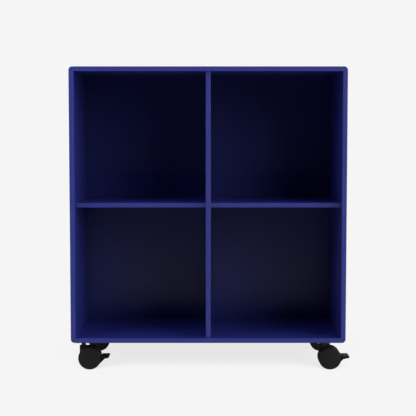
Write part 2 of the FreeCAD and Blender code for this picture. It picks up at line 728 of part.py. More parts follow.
def build_castors():
    """Four castors from one set of master pieces, all trailing to the right."""
    wheel = make_wheel()
    tread = make_tread()
    kingpin = make_kingpin()
    bush = make_bush()
    plate = make_plate()
    screw = make_screw()
    lever = make_lever()
    housings = {True: make_housing("BrakedHousing", True), False: make_housing("PlainHousing", False)}

    for corner, (kingpin_x, kingpin_y, braked) in CASTORS.items():
        on_kingpin = {"x": kingpin_x, "y": kingpin_y}
        axle_x = kingpin_x + " + trail"
        keep(copy_of(plate, corner + "Plate", z="plate_bottom", **on_kingpin), corner + "_castor_plate")
        keep(copy_of(kingpin, corner + "Kingpin", **on_kingpin), corner + "_kingpin")
        keep(copy_of(bush, corner + "Bush", **on_kingpin), corner + "_swivel_bush")
        keep(copy_of(housings[braked], corner + "Housing", **on_kingpin), corner + "_castor_housing")
        axle_half = "(castor_width / 2 - wheel_web - axle_end_gap)"
        keep(rod(corner + "Axle", "axle_diameter / 2", "2 * " + axle_half, x=axle_x,
                 y=f"{kingpin_y} - {axle_half}", z="wheel_radius", turn=ALONG_Y), corner + "_axle")
        for side, way, turn in (("near", "-", UPRIGHT), ("far", "+", HALF_TURN)):
            outer_face = f"{kingpin_y} {way} castor_width / 2"
            place = {"x": axle_x, "y": outer_face, "z": "wheel_radius", "turn": turn}
            keep(copy_of(wheel, f"{corner}{side}Wheel", **place), f"{corner}_{side}_wheel")
            keep(copy_of(tread, f"{corner}{side}Tread", **place), f"{corner}_{side}_tread")
        if braked:
            keep(copy_of(lever, corner + "Lever", x=axle_x, y=kingpin_y, z="wheel_radius"),
                 corner + "_brake_lever")
            pin_half = "(housing_thickness / 2 - lever_pin_end_gap)"
            keep(rod(corner + "LeverPin", "lever_pin_diameter / 2", "2 * " + pin_half,
                     x=axle_x + " + lever_pivot_out", y=f"{kingpin_y} - {pin_half}",
                     z="wheel_radius + lever_pivot_up", turn=ALONG_Y), corner + "_lever_pin")

    screws = [copy_of(screw, f"Screw{index}", x=place_x, y=place_y, z="plate_bottom")
              for index, (place_x, place_y) in enumerate(screw_places())]
    keep(group("Screws", screws), "castor_screws")


def check_and_write():
    """Stop if any object failed or any sub-part is unsound, and write the rest."""
    for item in doc.Objects:
        if "Invalid" in item.State or "Error" in item.State:
            raise RuntimeError(f"{item.Name} did not compute: {item.State}")
    shapes = {item.Label: Part.getShape(item) for item in sub_parts}
    for label, shape in shapes.items():
        if shape.isNull() or not shape.isValid() or not shape.Solids:
            raise RuntimeError(f"{label} is not a sound solid")
    os.makedirs("parts", exist_ok=True)
    for label, shape in shapes.items():
        shape.exportStep(os.path.join("parts", label + ".step"))
        print(f"{label}: {len(shape.Solids)} solid(s), {shape.Volume / 1000:.2f} cm3")


build_carcass()
build_divider()
build_shelves()
build_castors()
doc.recompute()
check_and_write()
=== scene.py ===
"""Dresses an open storage module: lacquered boards on four twin-wheel castors, in a plain pale studio."""

import logging
import math
from collections.abc import Callable
from dataclasses import dataclass
from enum import Enum

import bmesh
import bpy
from mathutils import Matrix, Vector

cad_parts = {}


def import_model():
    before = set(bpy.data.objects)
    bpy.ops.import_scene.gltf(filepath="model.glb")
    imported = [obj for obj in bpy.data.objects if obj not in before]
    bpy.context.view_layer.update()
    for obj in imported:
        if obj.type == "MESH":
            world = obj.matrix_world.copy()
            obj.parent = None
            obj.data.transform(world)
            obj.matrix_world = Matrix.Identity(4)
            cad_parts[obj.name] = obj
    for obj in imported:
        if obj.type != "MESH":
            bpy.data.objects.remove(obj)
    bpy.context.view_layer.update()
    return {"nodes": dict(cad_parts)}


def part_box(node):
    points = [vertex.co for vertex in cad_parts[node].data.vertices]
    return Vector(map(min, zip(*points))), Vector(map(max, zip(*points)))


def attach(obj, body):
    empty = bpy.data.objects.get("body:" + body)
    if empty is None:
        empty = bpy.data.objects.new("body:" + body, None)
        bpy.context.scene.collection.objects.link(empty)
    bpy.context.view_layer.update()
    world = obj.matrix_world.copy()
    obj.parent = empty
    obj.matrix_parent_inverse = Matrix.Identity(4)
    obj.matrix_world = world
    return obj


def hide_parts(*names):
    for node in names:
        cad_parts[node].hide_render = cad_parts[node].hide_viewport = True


LOG = logging.getLogger("storage_module")
PHOTO_PIXELS = 416
MILLIMETRE = 0.001
SHARP_ANGLE = math.radians(35.0)
MERGE_DISTANCE = 1e-6
ROUND_FACETS = 96
NOISE_LOW, NOISE_HIGH = 0.3, 0.7

Colour = tuple[float, float, float]
Point = tuple[float, float, float]
Flat = tuple[float, float]
EdgeTest = Callable[[bmesh.types.BMEdge], bool]


class Pattern(Enum):
    """What clouds the tint of a finish."""

    CLOUDS = "clouds"
    SPANGLE = "spangle"
    GRAIN = "grain"


class Merge(Enum):
    """What one shape does to another."""

    CUT = "DIFFERENCE"
    JOIN = "UNION"


class WheelSide(Enum):
    """Which wheel of a castor: the one towards the module's front, or the one towards its back."""

    NEAR = "near"
    FAR = "far"


class Corner(Enum):
    """Where a castor stands under the module."""

    FRONT_LEFT = "front_left"
    FRONT_RIGHT = "front_right"
    REAR_LEFT = "rear_left"
    REAR_RIGHT = "rear_right"

    @property
    def braked(self) -> bool:
        """Whether the castor at this corner has a brake pedal."""
        return self in (Corner.FRONT_LEFT, Corner.FRONT_RIGHT)


class Graph:
    """The nodes of one material or world, joined by short calls."""

    def __init__(self, tree: bpy.types.NodeTree) -> None:
        """Start from an empty tree.

        Args:
            tree: the node tree that is filled.
        """
        self.tree = tree
        self.tree.nodes.clear()

    def add(self, kind: str, inputs: dict | None = None, **settings: object) -> bpy.types.Node:
        """Add a node.

        Args:
            kind: name of the kind of node.
            inputs: values or sockets for its inputs, by name or number.
            **settings: properties of the node.

        Returns:
            The new node.
        """
        node = self.tree.nodes.new(kind)
        for name, value in settings.items():
            setattr(node, name, value)
        for key, value in (inputs or {}).items():
            if isinstance(value, bpy.types.NodeSocket):
                self.tree.links.new(value, node.inputs[key])
            else:
                node.inputs[key].default_value = value
        return node


@dataclass(frozen=True)
class Finish:
    """How a surface looks: a tint that clouds a little, a gloss that varies, and a fine relief.

    Attributes:
        slot: material slot of the record that the finish belongs to.
        tint: colour, linear.
        clouding: share by which the tint wanders either way.
        cloud_size: how large the clouds of the tint are, in metres.
        roughness: lowest and highest roughness.
        gloss_size: how large the patches of gloss are, in metres.
        relief_size: how large the bumps of the surface are, in metres.
        relief_height: how high they are, in metres.
        metallic: 1 for bare metal.
        specular: how strongly the surface mirrors, 0.5 for a plain gloss.
        pattern: what clouds the tint.
        stretch: how many times finer the pattern runs along each axis.
    """

    slot: str
    tint: Colour
    clouding: float
    cloud_size: float
    roughness: tuple[float, float]
    gloss_size: float
    relief_size: float
    relief_height: float
    metallic: float = 0.0
    specular: float = 0.5
    pattern: Pattern = Pattern.CLOUDS
    stretch: Point = (1.0, 1.0, 1.0)

    def material(self) -> bpy.types.Material:
        """Make the finish as a material.

        Returns:
            A new material on object coordinates.
        """
        made = bpy.data.materials.new(f"{self.slot}_finish")
        made.use_nodes = True
        graph = Graph(made.node_tree)
        places = graph.add("ShaderNodeTexCoord").outputs["Object"]
        mapping = graph.add("ShaderNodeMapping", {"Vector": places, "Scale": self.stretch})
        mapped = mapping.outputs["Vector"]
        shader = graph.add("ShaderNodeBsdfPrincipled", {
            "Base Color": self._tint(graph, mapped),
            "Roughness": self._gloss(graph, mapped),
            "Normal": self._relief(graph, mapped),
            "Metallic": self.metallic,
            "Specular IOR Level": self.specular,
        })
        graph.add("ShaderNodeOutputMaterial", {"Surface": shader.outputs["BSDF"]})
        return made

    def _tint(self, graph: Graph, places: bpy.types.NodeSocket) -> bpy.types.NodeSocket:
        """Cloud the tint.

        Args:
            graph: the material's nodes.
            places: coordinates that the pattern reads.

        Returns:
            The socket with the colour.
        """
        scale = 1.0 / self.cloud_size
        if self.pattern is Pattern.SPANGLE:
            source = graph.add("ShaderNodeTexVoronoi", {
                "Vector": places, "Scale": scale,
            }).outputs["Distance"]
        elif self.pattern is Pattern.GRAIN:
            source = graph.add("ShaderNodeTexWave", {
                "Vector": places, "Scale": scale, "Distortion": 6.0, "Detail": 3.0, "Detail Scale": 1.5,
            }, bands_direction="X").outputs["Fac"]
        else:
            source = graph.add("ShaderNodeTexNoise", {
                "Vector": places, "Scale": scale, "Detail": 4.0, "Roughness": 0.6,
            }).outputs["Fac"]
        ramp = graph.add("ShaderNodeValToRGB", {"Fac": source})
        ends = ((NOISE_LOW, 1.0 - self.clouding), (NOISE_HIGH, 1.0 + self.clouding))
        for stop, (place, share) in zip(ramp.color_ramp.elements, ends):
            stop.position = place
            stop.color = (*(part * share for part in self.tint), 1.0)
        return ramp.outputs["Color"]

    def _gloss(self, graph: Graph, places: bpy.types.NodeSocket) -> bpy.types.NodeSocket:
        """Let the roughness wander between its limits.

        Args:
            graph: the material's nodes.
            places: coordinates that the pattern reads.

        Returns:
            The socket with the roughness.
        """
        noise = graph.add("ShaderNodeTexNoise", {
            "Vector": places, "Scale": 1.0 / self.gloss_size, "Detail": 5.0,
        })
        low, high = self.roughness
        spread = graph.add("ShaderNodeMapRange", {
            "Value": noise.outputs["Fac"], "From Min": NOISE_LOW, "From Max": NOISE_HIGH,
            "To Min": low, "To Max": high,
        })
        return spread.outputs["Result"]

    def _relief(self, graph: Graph, places: bpy.types.NodeSocket) -> bpy.types.NodeSocket:
        """Raise the surface's fine bumps.

        Args:
            graph: the material's nodes.
            places: coordinates that the pattern reads.

        Returns:
            The socket with the normal.
        """
        noise = graph.add("ShaderNodeTexNoise", {
            "Vector": places, "Scale": 1.0 / self.relief_size, "Detail": 2.0,
        })
        bump = graph.add("ShaderNodeBump", {
            "Height": noise.outputs["Fac"], "Strength": 1.0, "Distance": self.relief_height,
        })
        return bump.outputs["Normal"]


LACQUER = Finish(
    "lacquered_board", tint=(0.0195, 0.0260, 0.200), clouding=0.03, cloud_size=0.12,
    roughness=(0.335, 0.365), gloss_size=0.02, relief_size=0.0011, relief_height=0.000012, specular=0.7)
BEECH = Finish(
    "beech", tint=(0.55, 0.36, 0.20), clouding=0.18, cloud_size=0.004,
    roughness=(0.55, 0.72), gloss_size=0.01, relief_size=0.0006, relief_height=0.00005,
    pattern=Pattern.GRAIN, stretch=(1.0, 0.15, 0.15))
ZINC = Finish(
    "zinc_steel", tint=(0.56, 0.57, 0.58), clouding=0.10, cloud_size=0.003,
    roughness=(0.28, 0.46), gloss_size=0.004, relief_size=0.0009, relief_height=0.00001,
    metallic=1.0, pattern=Pattern.SPANGLE)
BLACKENED = Finish(
    "blackened_steel", tint=(0.007, 0.007, 0.007), clouding=0.15, cloud_size=0.004,
    roughness=(0.40, 0.54), gloss_size=0.006, relief_size=0.0006, relief_height=0.00001, specular=0.3)
HOUSING_NYLON = Finish(
    "housing_nylon", tint=(0.006, 0.006, 0.006), clouding=0.08, cloud_size=0.006,
    roughness=(0.58, 0.72), gloss_size=0.01, relief_size=0.0005, relief_height=0.00002, specular=0.2)
WHEEL_NYLON = Finish(
    "wheel_nylon", tint=(0.007, 0.007, 0.007), clouding=0.06, cloud_size=0.008,
    roughness=(0.50, 0.64), gloss_size=0.012, relief_size=0.0005, relief_height=0.00002, specular=0.35)
SOFT_TREAD = Finish(
    "soft_tread", tint=(0.006, 0.006, 0.006), clouding=0.10, cloud_size=0.005,
    roughness=(0.58, 0.76), gloss_size=0.006, relief_size=0.0004, relief_height=0.00003, specular=0.35)
ACETAL = Finish(
    "bush_acetal", tint=(0.75, 0.74, 0.70), clouding=0.03, cloud_size=0.005,
    roughness=(0.34, 0.46), gloss_size=0.006, relief_size=0.0005, relief_height=0.00001)


def grey(level: float) -> tuple[float, float, float, float]:
    """A grey of a level, linear and opaque."""
    return (level, level, level, 1.0)


class Wardrobe:
    """Keeps one material for each finish."""

    def __init__(self) -> None:
        """Start with no material made."""
        self.made: dict[str, bpy.types.Material] = {}

    def give(self, piece: bpy.types.Object, finish: Finish) -> None:
        """Dress a piece in a finish.

        Args:
            piece: a node of the frame or a new piece.
            finish: what it is dressed in.
        """
        if finish.slot not in self.made:
            self.made[finish.slot] = finish.material()
        piece.data.materials.clear()
        piece.data.materials.append(self.made[finish.slot])


class Shape:
    """A mesh that is being shaped, in metres."""

    def __init__(self) -> None:
        """Start empty."""
        self.mesh = bmesh.new()

    def turn(self, outline: list[Flat], steps: int) -> "Shape":
        """Spin an outline about the Y axis.

        Args:
            outline: corners as radius and place along Y, which start on the axis or else form a ring.
            steps: how many facets go round.

        Returns:
            This shape.
        """
        verts = [self.mesh.verts.new((radius, along, 0.0)) for radius, along in outline]
        closing = verts[:1] if outline[0][0] > 0.0 else []
        sides = [self.mesh.edges.new(pair) for pair in zip(verts, verts[1:] + closing)]
        bmesh.ops.spin(self.mesh, geom=verts + sides, cent=(0.0, 0.0, 0.0), axis=(0.0, 1.0, 0.0),
                       angle=math.tau, steps=steps, use_merge=True)
        return self.close()

    def rod(self, radius: float, height: float) -> "Shape":
        """A round bar that stands on the origin.

        Args:
            radius: its radius.
            height: its height, with a little over at the top.

        Returns:
            This shape.
        """
        length = height + MILLIMETRE
        bmesh.ops.create_cone(self.mesh, cap_ends=True, segments=ROUND_FACETS, radius1=radius,
                              radius2=radius, depth=length)
        return self.place(Matrix.Translation((0.0, 0.0, length / 2)))

    def slab(self, thickness: float) -> "Shape":
        """Fill the outline drawn so far, in the XZ plane, and thicken it about that plane.

        Args:
            thickness: how thick it gets along Y.

        Returns:
            This shape.
        """
        bmesh.ops.contextual_create(self.mesh, geom=self.mesh.edges[:])
        bmesh.ops.translate(self.mesh, verts=self.mesh.verts[:], vec=(0.0, -thickness / 2, 0.0))
        made = bmesh.ops.extrude_face_region(self.mesh, geom=self.mesh.faces[:])
        moved = [item for item in made["geom"] if isinstance(item, bmesh.types.BMVert)]
        bmesh.ops.translate(self.mesh, verts=moved, vec=(0.0, thickness, 0.0))
        return self.close()

    def plate(self, outline: list[Flat], thickness: float) -> "Shape":
        """A flat piece with straight sides, thick along Y.

        Args:
            outline: its corners as X and Z.
            thickness: how thick it is.

        Returns:
            This shape.
        """
        verts = self.path(outline)
        self.mesh.edges.new((verts[-1], verts[0]))
        return self.slab(thickness)

    def path(self, outline: list[Flat]) -> list[bmesh.types.BMVert]:
        """Draw straight edges through corners in the XZ plane.

        Args:
            outline: the corners as X and Z.

        Returns:
            The vertices in order.
        """
        verts = [self.mesh.verts.new((across, 0.0, up)) for across, up in outline]
        for pair in zip(verts, verts[1:]):
            self.mesh.edges.new(pair)
        return verts

    def arc(self, centre: Flat, radius: float, start: float, sweep: float,
            steps: int) -> list[bmesh.types.BMVert]:
        """Draw an arc in the XZ plane by spinning a vertex.

        Args:
            centre: the arc's centre as X and Z.
            radius: its radius.
            start: where it starts, in radians from +X towards +Z.
            sweep: how far it turns that way.
            steps: how many edges it has.

        Returns:
            Its first and last vertices.
        """
        across, up = centre
        place = (across + radius * math.cos(start), 0.0, up + radius * math.sin(start))
        first = self.mesh.verts.new(place)
        made = bmesh.ops.spin(self.mesh, geom=[first], cent=(across, 0.0, up), axis=(0.0, -1.0, 0.0),
                              angle=sweep, steps=steps)
        last = next(item for item in made["geom_last"] if isinstance(item, bmesh.types.BMVert))
        return [first, last]

    def soften(self, width: float, segments: int, wanted: EdgeTest | None = None) -> "Shape":
        """Round edges.

        Args:
            width: how wide the rounding is.
            segments: how many facets it has.
            wanted: test that picks edges, or None for all sharp ones.

        Returns:
            This shape.
        """
        def sharp(edge: bmesh.types.BMEdge) -> bool:
            """Whether an edge's two faces meet at a sharp angle."""
            return edge.is_manifold and edge.calc_face_angle(0.0) > SHARP_ANGLE

        picked = [edge for edge in self.mesh.edges if sharp(edge) and (wanted is None or wanted(edge))]
        bmesh.ops.bevel(self.mesh, geom=picked, offset=width, segments=segments, profile=0.5,
                        affect="EDGES", clamp_overlap=True, material=-1)
        return self

    def close(self) -> "Shape":
        """Merge what coincides and turn the faces outwards.

        Returns:
            This shape.
        """
        bmesh.ops.remove_doubles(self.mesh, verts=self.mesh.verts[:], dist=MERGE_DISTANCE)
        bmesh.ops.dissolve_degenerate(self.mesh, edges=self.mesh.edges[:], dist=MERGE_DISTANCE)
        bmesh.ops.recalc_face_normals(self.mesh, faces=self.mesh.faces[:])
        return self

    def merge(self, tool: "Shape", way: Merge) -> "Shape":
        """Put another shape and this one together.

        Args:
            tool: the other shape, which is used up.
            way: whether it is added or taken out.

        Returns:
            This shape.
        """
        spares = (self.piece("merge_body"), tool.piece("merge_tool"))
        change = spares[0].modifiers.new("merge", "BOOLEAN")
        change.operation = way.value
        change.solver = "EXACT"
        change.object = spares[1]
        self.mesh = bmesh.new()
        self.mesh.from_object(spares[0], bpy.context.evaluated_depsgraph_get())
        for spare in spares:
            bpy.data.meshes.remove(spare.data)
        return self.close()

    def cut(self, tool: "Shape") -> "Shape":
        """Take another shape out of this one."""
        return self.merge(tool, Merge.CUT)

    def join(self, tool: "Shape") -> "Shape":
        """Add another shape to this one."""
        return self.merge(tool, Merge.JOIN)

    def place(self, matrix: Matrix) -> "Shape":
        """Move the shape.

        Args:
            matrix: how it is moved.

        Returns:
            This shape.
        """
        bmesh.ops.transform(self.mesh, matrix=matrix, verts=self.mesh.verts[:])
        return self

    def piece(self, name: str) -> bpy.types.Object:
        """Finish the shape as an object of the scene.

        Args:
            name: the piece's name.

        Returns:
            The new object, at the origin.
        """
        bmesh.ops.recalc_face_normals(self.mesh, faces=self.mesh.faces[:])
        mesh = bpy.data.meshes.new(name)
        self.mesh.to_mesh(mesh)
        self.mesh.free()
        mesh.shade_smooth()
        mesh.set_sharp_from_angle(angle=SHARP_ANGLE)
        made = bpy.data.objects.new(name, mesh)
        bpy.context.scene.collection.objects.link(made)
        return made


@dataclass
class Carcass:
    """The boards and what holds them together, all as the frame has them.

    Attributes:
        boards: nodes in lacquer.
        joinery: nodes in raw beech.
        fittings: nodes in zinc plated steel.
    """

    boards: tuple[str, ...] = (
        "top_panel", "bottom_panel", "left_side_panel", "right_side_panel", "back_panel",
        "centre_divider", "left_shelf", "right_shelf")
    joinery: tuple[str, ...] = ("mitre_splines", "divider_dowels")
    fittings: tuple[str, ...] = ("shelf_pins", "castor_screws")

    def dress(self, nodes: dict[str, bpy.types.Object], wardrobe: Wardrobe) -> None:
        """Give each node its finish.

        Args:
            nodes: the frame's objects by name.
            wardrobe: where materials come from.
        """
        for names, finish in ((self.boards, LACQUER), (self.joinery, BEECH), (self.fittings, ZINC)):
            for name in names:
                wardrobe.give(nodes[name], finish)
                LOG.info("%s in %s", name, finish.slot)


@dataclass
class Castor:
    """One castor: what the frame has of it, and finer wheels, treads, housing and pedal.

    Attributes:
        corner: where it stands.
        facets: how many facets go round a wheel.
        edge_round: rounding of the moulded edges.
        wheel_web: thickness of a wheel's outer wall.
        rim_wall: thickness of the wall under a tread.
        hub_radius: radius of a wheel's hub.
        axle_bore: radius of the bores for the axle.
        tread_shoulder: rounding of a tread's outer shoulder.
        tread_inner_round: rounding of a tread's inner shoulder.
        housing_radius: radius of the housing round the axle.
        boss_reach: how far the boss stands out from the kingpin.
        boss_drop: how far the boss reaches below the axle.
        boss_corner: rounding of the boss's upright edges.
        pedal_rise: height of the pedal's top over the axle.
        tip_thickness: thickness of the pedal's tip.
        root_thickness: thickness of the pedal where it starts.
        lever_start: where the pedal and its arm start, from the axle.
        shoe_centre: middle of the hollow of the brake shoe, from the axle.
        shoe_radius: radius of that hollow.
        arm_out: where the slanted side of the arm meets the axle's height, from the axle.
        arm_low: how far the arm reaches below the axle.
        arm_end: how far the arm's end runs back.
        arm_thickness: thickness of the arm.
        arm_lap: how far the arm reaches up into the pedal, over the axle's height.
        pivot: the pedal's pivot, from the axle.
        pivot_bore: radius of the bores for the pedal's pin.
        eye_radius: radius of the eye round the pivot.
        tongue_root: where the tongue ends in the pedal, from the axle.
        tongue_depths: how far the tongue's lower and upper corners there lie below the pedal's top.
        tongue_thickness: thickness of the tongue that holds the eye.
        slot_width: width of the slot in the housing that the tongue moves in.
        fit_gap: gap round a pressed piece.
        brake_gap: gap left at the hollows when the pedal is down.
    """

    corner: Corner
    facets: int = ROUND_FACETS
    edge_round: float = 0.5 * MILLIMETRE
    wheel_web: float = 2.6 * MILLIMETRE
    rim_wall: float = 2.6 * MILLIMETRE
    hub_radius: float = 6.5 * MILLIMETRE
    axle_bore: float = 3.05 * MILLIMETRE
    tread_shoulder: float = 3.8 * MILLIMETRE
    tread_inner_round: float = 1.2 * MILLIMETRE
    housing_radius: float = 24.0 * MILLIMETRE
    boss_reach: float = 10.0 * MILLIMETRE
    boss_drop: float = 7.0 * MILLIMETRE
    boss_corner: float = 4.5 * MILLIMETRE
    pedal_rise: float = 5.9 * MILLIMETRE
    tip_thickness: float = 4.5 * MILLIMETRE
    root_thickness: float = 9.9 * MILLIMETRE
    lever_start: float = 24.0 * MILLIMETRE
    shoe_centre: Flat = (1.33 * MILLIMETRE, -1.40 * MILLIMETRE)
    shoe_radius: float = 29.4 * MILLIMETRE
    arm_out: float = 41.4 * MILLIMETRE
    arm_low: float = 25.2 * MILLIMETRE
    arm_end: float = 3.5 * MILLIMETRE
    arm_thickness: float = 8.0 * MILLIMETRE
    arm_lap: float = MILLIMETRE
    pivot: Flat = (14.0 * MILLIMETRE, 12.0 * MILLIMETRE)
    pivot_bore: float = 2.05 * MILLIMETRE
    eye_radius: float = 4.5 * MILLIMETRE
    tongue_root: float = 32.0 * MILLIMETRE
    tongue_depths: Flat = (9.0 * MILLIMETRE, 2.0 * MILLIMETRE)
    tongue_thickness: float = 4.6 * MILLIMETRE
    slot_width: float = 5.2 * MILLIMETRE
    fit_gap: float = 0.05 * MILLIMETRE
    brake_gap: float = 0.4 * MILLIMETRE

    def node(self, piece: str) -> str:
        """The frame's name for one of the castor's pieces."""
        return f"{self.corner.value}_{piece}"

    def dress(self, nodes: dict[str, bpy.types.Object], wardrobe: Wardrobe) -> None:
        """Give the pieces that stay as they are their finish.

        Args:
            nodes: the frame's objects by name.
            wardrobe: where materials come from.
        """
        kept = [("castor_plate", ZINC), ("axle", ZINC), ("kingpin", BLACKENED), ("swivel_bush", ACETAL)]
        if self.corner.braked:
            kept.append(("lever_pin", ZINC))
        for piece, finish in kept:
            wardrobe.give(nodes[self.node(piece)], finish)
            LOG.info("%s in %s", self.node(piece), finish.slot)

    def build(self, wardrobe: Wardrobe) -> None:
        """Make the finer pieces.

        Args:
            wardrobe: where materials come from.
        """
        for side in WheelSide:
            self._wheel(side, wardrobe)
            self._tread(side, wardrobe)
        self._housing(wardrobe)
        if self.corner.braked:
            self._pedal(wardrobe)

    def axle_place(self) -> Vector:
        """The middle of the axle, on which the frame's wheels sit."""
        low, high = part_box(self.node("axle"))
        return (low + high) / 2

    def _ride(self, piece: bpy.types.Object, body: str, finish: Finish, wardrobe: Wardrobe,
              *nodes: str) -> None:
        """Set a piece on its body in place of nodes.

        Args:
            piece: the new piece.
            body: the body that it moves with.
            finish: what it is dressed in.
            wardrobe: where materials come from.
            *nodes: the nodes that it stands for.
        """
        wardrobe.give(piece, finish)
        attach(piece, body)
        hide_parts(*nodes)
        LOG.info("%s on %s", piece.name, body)

    def _span(self, side: WheelSide, piece: str) -> tuple[float, float, float]:
        """How a turned piece sits on the axle.

        Args:
            side: which wheel.
            piece: the turned piece.

        Returns:
            Its radius, and the places along Y of its outer and inner sides.
        """
        low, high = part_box(self.node(f"{side.value}_{piece}"))
        radius = (high.z - low.z) / 2
        outer, inner = (low.y, high.y) if side is WheelSide.NEAR else (high.y, low.y)
        return radius, outer, inner

    def _on_axle(self) -> Matrix:
        """A move from the axis of a turned shape to the axle, which leaves its place along Y."""
        axle = self.axle_place()
        return Matrix.Translation((axle.x, 0.0, axle.z))

    def _wheel(self, side: WheelSide, wardrobe: Wardrobe) -> None:
        """A wheel: plain outer face, hollow inside, with a rim wall and a hub on the axle.

        Args:
            side: which wheel.
            wardrobe: where materials come from.
        """
        radius, outer, inner = self._span(side, "wheel")
        way = math.copysign(1.0, inner - outer)
        web = outer + way * self.wheel_web
        rim, hub, bore = radius - self.rim_wall, self.hub_radius, self.axle_bore
        shape = Shape().turn([
            (0.0, outer), (radius, outer), (radius, inner), (rim, inner), (rim, web),
            (hub, web), (hub, inner), (bore, inner), (bore, web), (0.0, web),
        ], self.facets)
        shape.soften(self.edge_round, 3).place(self._on_axle())
        node = self.node(f"{side.value}_wheel")
        self._ride(shape.piece(node + "_disc"), node, WHEEL_NYLON, wardrobe, node)

    def _tread(self, side: WheelSide, wardrobe: Wardrobe) -> None:
        """A tread ring with a wide round shoulder on its outer side.

        Args:
            side: which wheel.
            wardrobe: where materials come from.
        """
        radius, outer, inner = self._span(side, "tread")
        hole = self._span(side, "wheel")[0] + self.fit_gap

        def ring_at(place: float) -> EdgeTest:
            """A test for the rolling edge at a place along Y."""
            return lambda edge: all(abs(vert.co.y - place) < MERGE_DISTANCE
                                    and math.hypot(vert.co.x, vert.co.z) > radius - MILLIMETRE
                                    for vert in edge.verts)

        shape = Shape().turn([(hole, outer), (radius, outer), (radius, inner), (hole, inner)], self.facets)
        shape.soften(self.tread_shoulder, 10, ring_at(outer))
        shape.soften(self.tread_inner_round, 5, ring_at(inner))
        shape.place(self._on_axle())
        body = self.node(f"{side.value}_wheel")
        node = self.node(f"{side.value}_tread")
        self._ride(shape.piece(node + "_ring"), body, SOFT_TREAD, wardrobe, node)

    def _housing(self, wardrobe: Wardrobe) -> None:
        """The moulded body between the wheels, with the boss round the kingpin.

        Args:
            wardrobe: where materials come from.
        """
        node = self.node("castor_housing")
        low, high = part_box(node)
        axle = self.axle_place()
        king_low, king_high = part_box(self.node("kingpin"))
        trail = axle.x - (king_low.x + king_high.x) / 2
        left, right = -trail - self.boss_reach, -trail + self.boss_reach
        bottom, top = -self.boss_drop, high.z - axle.z
        radius = self.housing_radius
        start = math.pi + math.asin(self.boss_drop / radius)
        end = math.tau + math.acos(right / radius)

        def upright(edge: bmesh.types.BMEdge) -> bool:
            """Whether an edge stands upright on the boss's outer side."""
            ends = [vert.co for vert in edge.verts]
            outside = all(abs(spot.x - left) < MERGE_DISTANCE for spot in ends)
            return outside and abs(ends[0].z - ends[1].z) > self.boss_corner

        shape = Shape()
        first, last = shape.arc((0.0, 0.0), radius, start, end - start, self.facets)
        boss = shape.path([(right, top), (left, top), (left, bottom)])
        shape.mesh.edges.new((last, boss[0]))
        shape.mesh.edges.new((boss[-1], first))
        shape.slab(high.y - low.y)
        shape.soften(self.boss_corner, 8, upright)
        shape.soften(self.edge_round, 3)
        bush_low, bush_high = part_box(self.node("swivel_bush"))
        bore = Shape().rod((bush_high.x - bush_low.x) / 2 + self.fit_gap, bush_high.z - bush_low.z)
        bore.place(Matrix.Translation((-trail, 0.0, bush_low.z - axle.z)))
        shape.cut(bore)
        shape.cut(self._cross_hole((0.0, 0.0), self.axle_bore))
        if self.corner.braked:
            shape.cut(self._slot()).cut(self._cross_hole(self.pivot, self.pivot_bore))
        shape.place(Matrix.Translation(axle))
        self._ride(shape.piece(node + "_body"), self.node("swivel"), HOUSING_NYLON, wardrobe, node)

    def _cross_hole(self, place: Flat, radius: float) -> Shape:
        """A tool for a hole across the housing.

        Args:
            place: the hole's place from the axle, as X and Z.
            radius: its radius.

        Returns:
            The tool, about the axle.
        """
        length = 2 * self.housing_radius
        turn = Matrix.Rotation(-math.pi / 2, 4, "X")
        return Shape().rod(radius, length).place(
            Matrix.Translation((place[0], -length / 2, place[1])) @ turn)

    def _slot(self) -> Shape:
        """A tool for the slot that the pedal's tongue moves in.

        Returns:
            The tool, about the axle.
        """
        tool = Shape()
        size = 4 * self.housing_radius
        bmesh.ops.create_cube(tool.mesh, size=1.0)
        start = self.pivot[0] - self.eye_radius - MILLIMETRE
        move = Matrix.Translation((start + size / 2, 0.0, 0.0))
        return tool.place(move @ Matrix.Diagonal((size, self.slot_width, size, 1.0)))

    def _pedal(self, wardrobe: Wardrobe) -> None:
        """The brake pedal with its hollow shoe, the arm below, and the tongue that turns on the pin.

        Args:
            wardrobe: where materials come from.
        """
        node = self.node("brake_lever")
        low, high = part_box(node)
        axle = self.axle_place()
        tip = high.x - axle.x
        start, rise, lap = self.lever_start, self.pedal_rise, self.arm_lap
        lever = Shape().plate([(start, rise), (tip, rise), (tip, rise - self.tip_thickness),
                               (start, rise - self.root_thickness)], high.y - low.y)
        lever.cut(self._cross_hole(self.shoe_centre, self.shoe_radius)).soften(2 * self.edge_round, 4)
        foot = self.arm_out - self.arm_low
        arm = Shape().plate([(start, lap), (self.arm_out + lap, lap), (foot, -self.arm_low),
                             (foot - self.arm_end, self.arm_end - self.arm_low)], self.arm_thickness)
        arm.soften(self.edge_round, 3)
        arm.cut(self._cross_hole(self.shoe_centre, self.housing_radius + self.brake_gap))
        tongue = Shape()
        first, last = tongue.arc(self.pivot, self.eye_radius, math.pi / 2, math.pi, self.facets // 4)
        root = tongue.path([(self.tongue_root, rise - depth) for depth in self.tongue_depths])
        tongue.mesh.edges.new((last, root[0]))
        tongue.mesh.edges.new((root[-1], first))
        tongue.slab(self.tongue_thickness).soften(self.edge_round / 2, 2)
        lever.join(arm).join(tongue).cut(self._cross_hole(self.pivot, self.pivot_bore))
        lever.place(Matrix.Translation(axle))
        self._ride(lever.piece(node + "_pedal"), node, HOUSING_NYLON, wardrobe, node)


